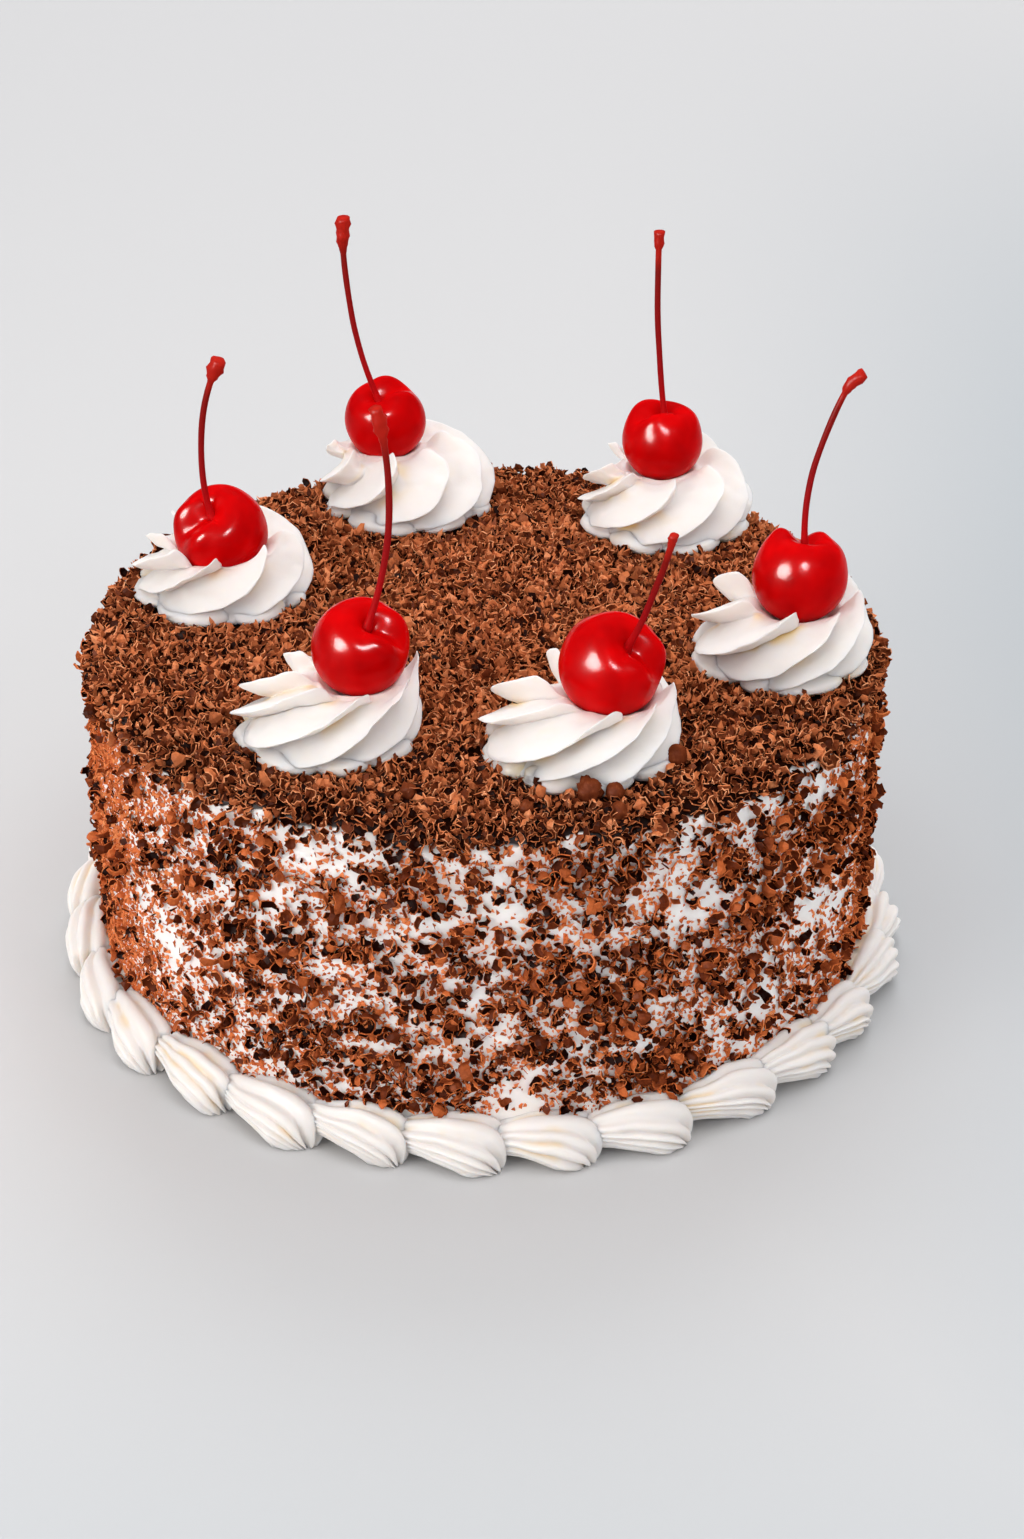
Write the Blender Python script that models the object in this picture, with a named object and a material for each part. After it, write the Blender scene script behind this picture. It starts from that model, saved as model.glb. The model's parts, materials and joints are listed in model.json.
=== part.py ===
"""Black forest cake: a whipped cream round covered in chocolate shavings, six piped
rosettes with a stemmed cherry each, and a border of piped shells round the foot.

Metres, +Z up, origin at the centre of the cake's flat base. Angles run counter-clockwise
from +X, in degrees, and the front of the cake looks along -Y.
"""

import math
import random

import bmesh
import bpy
from mathutils import Matrix, Vector, noise
from mathutils.bvhtree import BVHTree

GAP = 0.0003  # left between pieces that touch
SEED = 8

CAKE_RADIUS = 0.1000  # cream, without the shavings
CAKE_HEIGHT = 0.0895
RIM_ROUNDING = 0.0045
GRID_CELLS = 24  # across the top, so four times as many columns round the side
SIDE_ROWS = 5
TOP_HOLLOWS = 0.0032  # deepest hollow between the heaps of shavings
SIDE_WAVES = 0.0017
BUMP_SIZE = 0.0090
PLAIN_FOOT = 0.0185  # height of the smooth band behind the shell border

SHAVINGS_ON_TOP = 80  # before those under a rosette are left out
SHAVINGS_ON_SIDE = 54
SHAVING_LENGTH = (0.0070, 0.0125)
SHAVING_WIDTH = (0.0036, 0.0062)
SHAVING_CURL = (0.0032, 0.0065)
SHAVING_THICKNESS = 0.0008
SHAVING_SUNK = 0.0006

SHELLS = 28
SHELL_HEIGHT = 0.0155
SHELL_DEPTH = 0.0112  # from the side of the cake to the shell's toe
SHELL_FLUTE = 0.16
SHELL_START = 2.6  # angle of the first shell's tail
SHELL_TAIL = 0.34  # a tail's size against its bulb
SHELL_TAIL_LIFT = 0.0042  # height of a tail's underside
SHELL_FULLEST = 0.68  # share of its length where a shell is widest
SHELL_ROUND_OFF = 0.36  # share of its length that the end of the bulb would need to close

ROSETTE_HEIGHT = 0.0185
ROSETTE_BLADES = 8
ROSETTE_TWIST = 110.0
CUP_WALL = 0.0008  # room between a cherry and the cup that it sits in

CHERRY_DIMPLE = 0.0026
STEM_RADIUS = 0.0009
STEM_KNOB_RADIUS = 0.0021
STEM_STANDOFF = 0.0010  # from the bottom of the dimple, where the stem's wider foot clears its sides

# One row for each rosette: where it stands, its radius, then the cherry on it: its radius,
# its centre from the rosette's, how far it leans and towards where, and the stem's tip from
# the cherry's centre with how far the stem bows sideways.
ROSETTES = (
    dict(angle=-124.0, ring=0.0658, radius=0.0218, cherry=0.0118, seat=(0.0082, 0.0020, 0.0217),
         lean=26, towards=-53, tip=(0.0049, -0.0050, 0.0634), bow=0.0042),
    dict(angle=-69.0, ring=0.0648, radius=0.0232, cherry=0.0126, seat=(0.0070, 0.0020, 0.0216),
         lean=40, towards=-46, tip=(0.0127, -0.0170, 0.0420), bow=0.0010),
    dict(angle=-10.0, ring=0.0749, radius=0.0222, cherry=0.0120, seat=(0.0042, 0.0020, 0.0213),
         lean=10, towards=42, tip=(0.0113, 0.0020, 0.0541), bow=-0.0036),
    dict(angle=53.2, ring=0.0803, radius=0.0230, cherry=0.0110, seat=(-0.0011, 0.0042, 0.0218),
         lean=6, towards=21, tip=(-0.0026, 0.0000, 0.0590), bow=-0.0012),
    dict(angle=106.2, ring=0.0781, radius=0.0234, cherry=0.0111, seat=(-0.0060, 0.0045, 0.0222),
         lean=20, towards=-134, tip=(-0.0102, -0.0040, 0.0590), bow=-0.0028),
    dict(angle=162.8, ring=0.0709, radius=0.0228, cherry=0.0120, seat=(0.0009, -0.0034, 0.0192),
         lean=35, towards=-116, tip=(0.0021, -0.0080, 0.0506), bow=-0.0038),
)


def turned(radius, degrees, height=0.0):
    angle = math.radians(degrees)
    return Vector((radius * math.cos(angle), radius * math.sin(angle), height))


def smooth_step(value, low, high):
    share = min(max((value - low) / (high - low), 0.0), 1.0)
    return share * share * (3.0 - 2.0 * share)


def material(name, colour, roughness, subsurface=0.0):
    made = bpy.data.materials.new(name)
    made.use_nodes = True
    shader = made.node_tree.nodes["Principled BSDF"]
    shader.inputs["Base Color"].default_value = (*colour, 1.0)
    shader.inputs["Roughness"].default_value = roughness
    shader.inputs["Metallic"].default_value = 0.0
    shader.inputs["Subsurface Weight"].default_value = subsurface
    return made


def placed(name, mesh, collection, *materials):
    made = bpy.data.objects.new(name, mesh)
    for one in materials:
        mesh.materials.append(one)
    collection.objects.link(made)
    return made


def mesh_from(name, shape, smooth_angle=40.0):
    bmesh.ops.recalc_face_normals(shape, faces=shape.faces)
    mesh = bpy.data.meshes.new(name)
    shape.to_mesh(mesh)
    shape.free()
    mesh.shade_smooth()
    mesh.set_sharp_from_angle(angle=math.radians(smooth_angle))
    return mesh


def loft(name, rings):
    """A closed mesh through rings of equal length, with a flat cap on the first and the last."""
    shape = bmesh.new()
    rows = [[shape.verts.new(point) for point in ring] for ring in rings]
    count = len(rows[0])
    for lower, upper in zip(rows, rows[1:]):
        for i in range(count):
            j = (i + 1) % count
            shape.faces.new((lower[i], lower[j], upper[j], upper[i]))
    shape.faces.new(rows[0])
    shape.faces.new(rows[-1])
    return mesh_from(name, shape)


def rosette_place(row):
    return turned(row["ring"], row["angle"], CAKE_HEIGHT)


def cherry_place(row):
    return rosette_place(row) + Vector(row["seat"])


def room_to_rosettes(point):
    """How far a point lies outside the nearest rosette, seen from above."""
    return min((point - rosette_place(row)).xy.length - row["radius"] for row in ROSETTES)


# Cake

def bump(point):
    return noise.fractal(point / BUMP_SIZE, 1.0, 2.0, 2)


def cake_body():
    """A square grid pressed round for the top, its edge drawn down in rows to a flat base."""
    shape = bmesh.new()
    bmesh.ops.create_grid(shape, x_segments=GRID_CELLS, y_segments=GRID_CELLS, size=1.0)
    flat_radius = CAKE_RADIUS - RIM_ROUNDING
    for vertex in shape.verts:
        u, v, _ = vertex.co
        vertex.co = Vector((u * math.sqrt(1 - v * v / 2), v * math.sqrt(1 - u * u / 2), 0))
        vertex.co = vertex.co * flat_radius + Vector((0, 0, CAKE_HEIGHT))
        hollow = smooth_step(room_to_rosettes(vertex.co), 0.001, 0.010)
        vertex.co.z -= TOP_HOLLOWS * hollow * (0.5 + 0.5 * bump(vertex.co))

    side_top = CAKE_HEIGHT - RIM_ROUNDING
    rows = [(CAKE_RADIUS - RIM_ROUNDING * 0.3, CAKE_HEIGHT - RIM_ROUNDING * 0.3, SIDE_WAVES)]
    for i in range(SIDE_ROWS):
        height = side_top + (PLAIN_FOOT - side_top) * i / SIDE_ROWS
        rows.append((CAKE_RADIUS, height, SIDE_WAVES))
    rows += [(CAKE_RADIUS, PLAIN_FOOT, 0.0), (CAKE_RADIUS, 0.0, 0.0)]

    for radius, height, waves in rows:
        edge = [e for e in shape.edges if e.is_boundary]
        drawn = bmesh.ops.extrude_edge_only(shape, edges=edge)["geom"]
        for vertex in [part for part in drawn if isinstance(part, bmesh.types.BMVert)]:
            outward = Vector((vertex.co.x, vertex.co.y, 0)).normalized()
            vertex.co = outward * radius + Vector((0, 0, height))
            vertex.co += outward * waves * bump(vertex.co)
    bmesh.ops.holes_fill(shape, edges=[e for e in shape.edges if e.is_boundary], sides=0)
    return mesh_from("cake", shape, smooth_angle=60.0)


def shaving_mesh(rng):
    """A short strip of chocolate, narrower at one end, whose ends curl away from the cake."""
    length = rng.uniform(*SHAVING_LENGTH)
    width = rng.uniform(*SHAVING_WIDTH)
    curl = rng.uniform(*SHAVING_CURL)
    taper = rng.uniform(0.3, 0.9)
    shape = bmesh.new()
    bmesh.ops.create_grid(shape, x_segments=3, y_segments=1, size=0.5)
    for vertex in shape.verts:
        along, across, _ = vertex.co
        bend = along * length / curl
        narrowing = 1.0 - (along + 0.5) * (1.0 - taper)
        vertex.co = Vector((curl * math.sin(bend), across * width * narrowing,
                            curl * (1.0 - math.cos(bend)) + 0.2 * across * width))
    bmesh.ops.solidify(shape, geom=shape.faces, thickness=SHAVING_THICKNESS)
    return mesh_from("shaving", shape)


def shaving_spots():
    """Points above the cake and the ways down to it, spread evenly by the golden angle."""
    golden = 180.0 * (3.0 - math.sqrt(5.0))
    reach = CAKE_RADIUS - RIM_ROUNDING
    for i in range(SHAVINGS_ON_TOP):
        share = (i + 0.5) / SHAVINGS_ON_TOP
        spot = turned(reach * math.sqrt(share), golden * i, 2 * CAKE_HEIGHT)
        if room_to_rosettes(spot) > SHAVING_LENGTH[1] / 2 + GAP:
            yield spot, Vector((0, 0, -1))
    low, high = PLAIN_FOOT + 0.007, CAKE_HEIGHT - 0.007
    for i in range(SHAVINGS_ON_SIDE):
        height = low + (high - low) * (i + 0.5) / SHAVINGS_ON_SIDE
        spot = turned(2 * CAKE_RADIUS, golden * i, height)
        yield spot, Vector((-spot.x, -spot.y, 0)).normalized()


def make_shavings(cake, collection, chocolate):
    rng = random.Random(SEED)
    surface = BVHTree.FromObject(cake, bpy.context.evaluated_depsgraph_get())
    for spot, way in shaving_spots():
        hit, normal, _, _ = surface.ray_cast(spot, way)
        one = placed("shaving", shaving_mesh(rng), collection, chocolate)
        lie = normal.to_track_quat("Z", "X").to_matrix().to_4x4()
        spin = Matrix.Rotation(rng.uniform(0, 2 * math.pi), 4, "Z")
        tip = Matrix.Rotation(rng.uniform(-0.25, 0.25), 4, "Y")
        one.matrix_world = Matrix.Translation(hit - normal * SHAVING_SUNK) @ lie @ spin @ tip


def fuse(target, collection):
    """Joins a collection's objects to the target by one union, applies it and removes them."""
    join = target.modifiers.new("join shavings", "BOOLEAN")
    join.operation = "UNION"
    join.operand_type = "COLLECTION"
    join.collection = collection
    join.solver = "EXACT"
    join.material_mode = "TRANSFER"
    bpy.context.view_layer.update()
    graph = bpy.context.evaluated_depsgraph_get()
    target.data = bpy.data.meshes.new_from_object(target.evaluated_get(graph))
    target.modifiers.clear()
    for one in list(collection.objects):
        bpy.data.objects.remove(one, do_unlink=True)
    bpy.data.collections.remove(collection)


def make_cake(collection, cream, chocolate):
    cake = placed("cake", cake_body(), collection, cream, chocolate)
    shavings = bpy.data.collections.new("shavings")
    bpy.context.scene.collection.children.link(shavings)
    bpy.context.view_layer.update()
    make_shavings(cake, shavings, chocolate)
    fuse(cake, shavings)


# Shell border

def swell(share):
    """How full a shell fans out from its narrow tail, at 0, to the end of its bulb, at 1."""
    if share < SHELL_FULLEST:
        return SHELL_TAIL + (1.0 - SHELL_TAIL) * share / SHELL_FULLEST
    return math.sqrt(1.0 - ((share - SHELL_FULLEST) / SHELL_ROUND_OFF) ** 2)


def shell_section(degrees, depth, low, height):
    """A fluted quarter round from the side of the cake down to the shell's toe."""
    inner = CAKE_RADIUS + GAP
    ribs = 5
    section = [turned(inner, degrees, low), turned(inner, degrees, height)]
    for i in range(1, ribs + 1):
        round_off = math.radians(90.0 * i / ribs)
        groove = 1.0 - SHELL_FLUTE * (i % 2 == 0)
        out = depth * math.sin(round_off) ** 0.8 * groove
        up = (height - low) * math.cos(round_off) ** 0.8 * groove if i < ribs else 0.0
        section.append(turned(inner + out, degrees, low + up))
    return section


def make_shell(number, collection, cream):
    """A shell whose bulb rests on the base plane and whose tail is held up behind the bulb before it."""
    rng = random.Random(SEED + number)
    depth = SHELL_DEPTH * rng.uniform(0.94, 1.02)
    height = SHELL_HEIGHT * rng.uniform(0.92, 1.04)
    pitch = 360.0 / SHELLS
    room = math.degrees(1.5 * GAP / CAKE_RADIUS)
    start = SHELL_START + pitch * (number - 1)
    rings = []
    for share in (0.0, 0.22, 0.44, SHELL_FULLEST, 0.86, 1.0):
        full = swell(share)
        degrees = start + room / 2 + (pitch - room) * share
        low = SHELL_TAIL_LIFT * (1.0 - smooth_step(share, 0.0, SHELL_FULLEST))
        rings.append(shell_section(degrees, depth * full, low, height * (0.35 + 0.65 * full)))
    name = f"shell_{number:02d}"
    placed(name, loft(name, rings), collection, cream)


# Rosettes, cherries and stems

def blade_ring(centre, radius, notch, height, lift, turn, tips):
    """A ring of sawtooth blades: each rises slowly to its crest and drops sharply to the next."""
    ring = []
    for blade in range(ROSETTE_BLADES):
        for share, rise in ((0.06, 0.0), (0.50, 0.62), (0.90, 1.0)):
            degrees = 360.0 * (blade + share) / ROSETTE_BLADES + turn
            out = radius * (1.0 - notch * (1.0 - rise))
            up = height + lift * tips[blade] * (rise - 0.5)
            ring.append(centre + turned(out, degrees, up))
    return ring


def make_rosette(number, row, collection, cream):
    """A piped swirl: blades that turn as they climb, round a cup that holds the cherry."""
    rng = random.Random(SEED * 10 + number)
    tips = [rng.uniform(0.6, 1.3) for _ in range(ROSETTE_BLADES)]
    start = rng.uniform(0, 360.0 / ROSETTE_BLADES)
    seat = Vector(row["seat"])
    ball = row["cherry"] + CUP_WALL
    radius = row["radius"]
    foot = rosette_place(row)

    def ring(share, out, height, notch, lift=0.0):
        centre = foot + Vector((seat.x, seat.y, 0)) * share
        return blade_ring(centre, out, notch, height, lift, start + ROSETTE_TWIST * share, tips)

    def cup(depth):
        """A ring round the ball at this share of the way from the cup's rim to its bottom."""
        rim = seat.z - ROSETTE_HEIGHT * 0.86
        low = math.acos(rim / ball) * (1.0 - depth)
        return ball * math.sin(low), seat.z - ball * math.cos(low)

    rings = [
        ring(0.00, radius * 0.78, GAP, 0.05),
        ring(0.05, radius * 0.95, 0.0030, 0.12),
        ring(0.20, radius * 1.00, 0.0068, 0.20),
        ring(0.48, radius * 0.90, 0.0108, 0.24, 0.0010),
        ring(0.78, radius * 0.76, 0.0148, 0.24, 0.0025),
        ring(1.00, ball + 0.0026, ROSETTE_HEIGHT - 0.0012, 0.14, 0.0042),
    ]
    for depth in (0.0, 0.45, 0.8):
        out, height = cup(depth)
        rings.append(ring(1.0, out, height, 0.0))
    name = f"rosette_{number}"
    placed(name, loft(name, rings), collection, cream)


def cherry_axis(row):
    return turned(math.sin(math.radians(row["lean"])), row["towards"],
                  math.cos(math.radians(row["lean"])))


def make_cherry(number, row, collection, red):
    """A ball with a dimple where the stem goes in."""
    radius = row["cherry"]
    shape = bmesh.new()
    bmesh.ops.create_uvsphere(shape, u_segments=12, v_segments=9, radius=radius)
    for vertex in shape.verts:
        off_axis = vertex.co.xy.length / radius
        if vertex.co.z > 0:
            vertex.co.z -= CHERRY_DIMPLE * (1.0 - smooth_step(off_axis, 0.0, 0.6))
    name = f"cherry_{number}"
    cherry = placed(name, mesh_from(name, shape), collection, red)
    cherry.location = cherry_place(row)
    cherry.rotation_mode = "QUATERNION"
    cherry.rotation_quaternion = cherry_axis(row).to_track_quat("Z", "X")


def make_stem(number, row, collection, brown):
    """A thin stem from the dimple, bowed to one side, that ends in a knob."""
    base = cherry_axis(row) * (row["cherry"] - CHERRY_DIMPLE + STEM_STANDOFF)
    tip = Vector(row["tip"])
    middle = (base + tip) / 2 + Vector((2 * row["bow"], 0, 0))
    shares = (0.0, 0.12, 0.30, 0.50, 0.70, 0.84, 0.93, 1.0)
    widths = (1.5, 1.0, 0.95, 0.9, 0.95, 1.0, STEM_KNOB_RADIUS / STEM_RADIUS, 1.2)
    name = f"stem_{number}"
    curve = bpy.data.curves.new(name, "CURVE")
    curve.dimensions = "3D"
    curve.bevel_depth = STEM_RADIUS
    curve.bevel_resolution = 1
    curve.use_fill_caps = True
    spline = curve.splines.new("POLY")
    spline.points.add(len(shares) - 1)
    for point, share, width in zip(spline.points, shares, widths):
        place = base * (1 - share) ** 2 + middle * 2 * share * (1 - share) + tip * share ** 2
        point.co = (*place, 1.0)
        point.radius = width
    curve.materials.append(brown)
    stem = bpy.data.objects.new(name, curve)
    stem.location = cherry_place(row)
    collection.objects.link(stem)


def main():
    for old in list(bpy.data.objects):
        bpy.data.objects.remove(old, do_unlink=True)
    collection = bpy.data.collections.new("black_forest_cake")
    bpy.context.scene.collection.children.link(collection)

    cream = material("whipped_cream", (0.86, 0.81, 0.76), 0.5, subsurface=0.15)
    chocolate = material("chocolate_shavings", (0.24, 0.075, 0.032), 0.45)
    red = material("glazed_cherry", (0.70, 0.005, 0.008), 0.1, subsurface=0.2)
    brown = material("cherry_stem", (0.20, 0.022, 0.018), 0.4)

    make_cake(collection, cream, chocolate)
    for number in range(1, SHELLS + 1):
        make_shell(number, collection, cream)
    for number, row in enumerate(ROSETTES, start=1):
        make_rosette(number, row, collection, cream)
        make_cherry(number, row, collection, red)
        make_stem(number, row, collection, brown)


main()
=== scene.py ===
import json
import math
import random

import bpy
import numpy as np
from mathutils import Matrix, Vector, noise

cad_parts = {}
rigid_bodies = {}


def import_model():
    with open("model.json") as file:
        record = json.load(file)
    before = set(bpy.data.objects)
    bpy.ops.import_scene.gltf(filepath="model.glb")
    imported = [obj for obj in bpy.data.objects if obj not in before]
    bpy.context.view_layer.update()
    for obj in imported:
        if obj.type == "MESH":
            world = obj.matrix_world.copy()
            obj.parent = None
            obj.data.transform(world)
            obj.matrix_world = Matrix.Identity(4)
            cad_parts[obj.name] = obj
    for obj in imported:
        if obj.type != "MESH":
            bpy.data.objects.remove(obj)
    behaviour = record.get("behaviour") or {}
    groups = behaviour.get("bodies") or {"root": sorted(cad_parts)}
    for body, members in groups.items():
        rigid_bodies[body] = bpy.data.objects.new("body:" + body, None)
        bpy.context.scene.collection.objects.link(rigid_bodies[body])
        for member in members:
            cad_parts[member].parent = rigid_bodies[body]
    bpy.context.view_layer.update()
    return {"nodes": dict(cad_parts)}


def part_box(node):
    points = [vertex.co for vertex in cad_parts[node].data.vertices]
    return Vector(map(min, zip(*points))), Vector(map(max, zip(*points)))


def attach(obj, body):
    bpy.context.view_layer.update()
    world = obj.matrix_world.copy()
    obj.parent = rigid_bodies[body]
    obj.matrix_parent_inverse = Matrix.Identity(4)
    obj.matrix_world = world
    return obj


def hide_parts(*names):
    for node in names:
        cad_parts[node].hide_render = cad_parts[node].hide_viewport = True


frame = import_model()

# Black forest cake: whipped cream, chocolate shavings, six rosettes with cherries, a border of shells.
# Metres, Z up, the front looks along -Y. Angles are in degrees, counter-clockwise from +X.

scene = bpy.context.scene
body = "root"
print("frame loaded:", len(frame["nodes"]), "solids")


# Small tools used by every piece

def smoothStep(value, low, high):
    share = np.clip((np.asarray(value, float) - low) / (high - low), 0.0, 1.0)
    return share * share * (3.0 - 2.0 * share)


def noiseAt(points, size, seed):  # soft noise between about -1 and 1, with bumps of this size
    shift = Vector((seed, seed * 0.7, -seed))
    return np.array([noise.noise(Vector(point) / size + shift) for point in points])


def swayed(points, size, amount, seed):  # points moved by soft noise along each axis
    return points + np.stack([noiseAt(points, size, seed + k) for k in range(3)], -1) * amount


def wrapped(angle):  # the same angle, between -pi and pi
    return np.angle(np.exp(1j * angle))


def roundAngles(count):
    return np.linspace(0, 2 * math.pi, count, endpoint=False)


def ringPoint(radius, degrees, height=0.0):
    angle = math.radians(degrees)
    return Vector((radius * math.cos(angle), radius * math.sin(angle), height))


def ballGrid(rows, cols, pole):  # angles down and round a ball, and its points at radius 1
    polar = np.linspace(pole, math.pi - pole, rows)[:, None]
    around = roundAngles(cols)[None, :]
    unit = np.stack(np.broadcast_arrays(np.sin(polar) * np.cos(around), np.sin(polar) * np.sin(around),
                                        np.cos(polar)), -1)
    return polar, around, unit


def tubeFaces(rows, cols):  # quads between rows of points, each closed round, and triangles over each end
    here = np.arange(cols)
    after = (here + 1) % cols
    start = np.arange(rows - 1)[:, None] * cols
    quads = np.stack([start + here, start + after, start + cols + after, start + cols + here], -1)
    last = (rows - 1) * cols
    low = np.stack([after, here, np.full(cols, rows * cols)], -1)
    high = np.stack([last + here, last + after, np.full(cols, rows * cols + 1)], -1)
    return quads.reshape(-1, 4), np.concatenate([low, high])


def meshFrom(name, *parts):  # parts: grids of points, rows x cols x 3, each with its named values
    points, quads, fans, channels, start = [], [], [], {}, 0
    for grid, values in parts:
        whole = np.concatenate([grid.reshape(-1, 3), grid[0].mean(0)[None], grid[-1].mean(0)[None]])
        four, three = tubeFaces(*grid.shape[:2])
        a, b, c = (whole[np.concatenate([four[:, :3], four[:, [0, 2, 3]], three])[:, k]] for k in range(3))
        if np.sum(a * np.cross(b, c)) < 0:  # turn it the right way out
            four, three = four[:, ::-1], three[:, ::-1]
        points.append(whole)
        quads += (four + start).tolist()
        fans += (three + start).tolist()
        for key, flat in values.items():
            ends = [flat[0].mean(), flat[-1].mean()]
            channels.setdefault(key, []).append(np.concatenate([flat.reshape(-1), ends]))
        start += len(whole)
    mesh = bpy.data.meshes.new(name)
    mesh.from_pydata(np.concatenate(points).tolist(), [], quads + fans)
    for key, flat in channels.items():
        mesh.attributes.new(key, "FLOAT", "POINT").data.foreach_set("value", np.concatenate(flat))
    mesh.shade_smooth()
    return mesh


def placeObject(name, data):
    made = bpy.data.objects.new(name, data)
    scene.collection.objects.link(made)
    return made


def claimPiece(piece, slot, *nodes):
    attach(piece, body)
    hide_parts(*nodes)


def addPiece(name, mesh, material, slot, *nodes):
    mesh.materials.append(material)
    claimPiece(placeObject(name, mesh), slot, *nodes)


def triangleCount(piece):
    piece.data.calc_loop_triangles()
    return len(piece.data.loop_triangles)


def addNode(tree, kind, sockets=None, **settings):  # a socket is linked, any other value is set
    node = tree.nodes.new(kind)
    for key, value in settings.items():
        setattr(node, key, value)
    for key, value in (sockets or {}).items():
        if isinstance(value, bpy.types.NodeSocket):
            tree.links.new(value, node.inputs[key])
        else:
            node.inputs[key].default_value = value
    return node


def rampNode(tree, factor, stops):
    node = addNode(tree, "ShaderNodeValToRGB", {0: factor})
    while len(node.color_ramp.elements) < len(stops):
        node.color_ramp.elements.new(0.5)
    for element, (place, colour) in zip(node.color_ramp.elements, stops):
        element.position = place
        element.color = (*colour, 1.0)
    return node.outputs["Color"]


def newMaterial(name, **values):
    material = bpy.data.materials.new(name)
    material.use_nodes = True
    tree = material.node_tree
    shader = tree.nodes["Principled BSDF"]
    for key, value in values.items():
        shader.inputs[key.replace("_", " ")].default_value = value
    return material, tree, shader


def objectNoise(tree, scale, detail=3.0, roughness=0.55, stretch=(1, 1, 1)):
    place = addNode(tree, "ShaderNodeTexCoord").outputs["Object"]
    mapped = addNode(tree, "ShaderNodeMapping", {0: place, "Scale": stretch}).outputs[0]
    made = addNode(tree, "ShaderNodeTexNoise",
                   {0: mapped, "Scale": scale, "Detail": detail, "Roughness": roughness})
    return made.outputs["Fac"]


def namedValue(tree, name):
    return addNode(tree, "ShaderNodeAttribute", attribute_name=name).outputs["Fac"]


def mixed(tree, share, under, over):
    node = addNode(tree, "ShaderNodeMix", {0: share}, data_type="RGBA")
    for socket, colour in ((node.inputs[6], under), (node.inputs[7], over)):
        if isinstance(colour, bpy.types.NodeSocket):
            tree.links.new(colour, socket)
        else:
            socket.default_value = (*colour, 1.0)
    return node.outputs[2]


def mathNode(tree, kind, first, second=0.0, third=0.0):
    return addNode(tree, "ShaderNodeMath", {0: first, 1: second, 2: third}, operation=kind).outputs[0]


def stepUp(tree, value, low, high):
    node = addNode(tree, "ShaderNodeMapRange", {0: value, 1: low, 2: high}, interpolation_type="SMOOTHSTEP")
    return node.outputs[0]


def roughen(tree, shader, height, strength, depth):
    bump = addNode(tree, "ShaderNodeBump", {"Height": height, "Strength": strength, "Distance": depth})
    tree.links.new(bump.outputs[0], shader.inputs["Normal"])
    return bump.outputs[0]


# Camera, floor and soft studio light

view = dict(lens=73.4, sensor=36.0, elevation=30.25, roll=0.46, distance=0.8154, target=(0.0073, 0.0, 0.0484))
# The floor's painted shade, darker and cooler, grows to the right but not far back, and in front
floor = dict(
    half=6.0, drop=0.0002, colour=(0.553, 0.548, 0.549), paintedShade=(0.350, 0.392, 0.421),
    right=(0.02, 0.30), far=(0.10, 0.90), near=(-0.45, -0.05), nearShare=0.75,
)
# A glint light shows in the glaze alone, and the others light everything else
lights = (
    dict(name="window", azimuth=-47, elevation=24, distance=1.10, size=0.66, power=3.9,
         colour=(1.0, 0.985, 0.96)),
    dict(name="sideWindow", azimuth=42, elevation=36, distance=1.40, size=0.34, power=1.7,
         colour=(0.90, 0.95, 1.0)),
    dict(name="ceiling", azimuth=20, elevation=80, distance=1.20, size=1.10, power=4.8,
         colour=(1.0, 0.99, 0.98)),
    dict(name="backWall", azimuth=176, elevation=45, distance=2.40, size=1.60, power=20.0,
         colour=(0.97, 0.98, 1.0)),
    dict(name="windowGlint", azimuth=-47, elevation=26, distance=1.10, size=0.66, power=330.0, glint=True,
         colour=(1.0, 0.98, 0.95)),
    dict(name="sideGlint", azimuth=14, elevation=40, distance=1.40, size=0.34, power=110.0, glint=True,
         colour=(0.92, 0.96, 1.0)),
)
lightTarget = Vector((0, 0, 0.05))
sky = dict(colour=(0.98, 0.985, 1.0), strength=0.83)


def makeCamera():
    up = math.radians(view["elevation"])
    data = bpy.data.cameras.new("camera")
    data.lens = view["lens"]
    data.sensor_width = view["sensor"]
    camera = placeObject("camera", data)
    back = Vector((0.0, -math.cos(up), math.sin(up))) * view["distance"]
    turn = Matrix.Rotation(math.pi / 2 - up, 4, "X") @ Matrix.Rotation(math.radians(view["roll"]), 4, "Z")
    camera.matrix_world = Matrix.Translation(Vector(view["target"]) + back) @ turn
    scene.camera = camera


def makeLights():
    for row in lights:
        data = bpy.data.lights.new(row["name"], "AREA")
        data.shape = "DISK"
        data.size = row["size"]
        data.energy = row["power"]
        data.color = row["colour"]
        light = placeObject(row["name"], data)
        glint = row.get("glint", False)
        light.visible_glossy = glint
        light.visible_diffuse = not glint
        tall, far = math.radians(row["elevation"]), row["distance"]
        away = ringPoint(far * math.cos(tall), row["azimuth"] - 90, far * math.sin(tall))
        light.location = lightTarget + away
        light.rotation_mode = "QUATERNION"
        light.rotation_quaternion = (-away).to_track_quat("-Z", "Y")
    world = bpy.data.worlds.new("studio")
    world.use_nodes = True
    background = world.node_tree.nodes["Background"].inputs
    background["Color"].default_value = (*sky["colour"], 1.0)
    background["Strength"].default_value = sky["strength"]
    scene.world = world
    world.cycles_visibility.glossy = False
    scene.view_settings.view_transform = "Standard"


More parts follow.
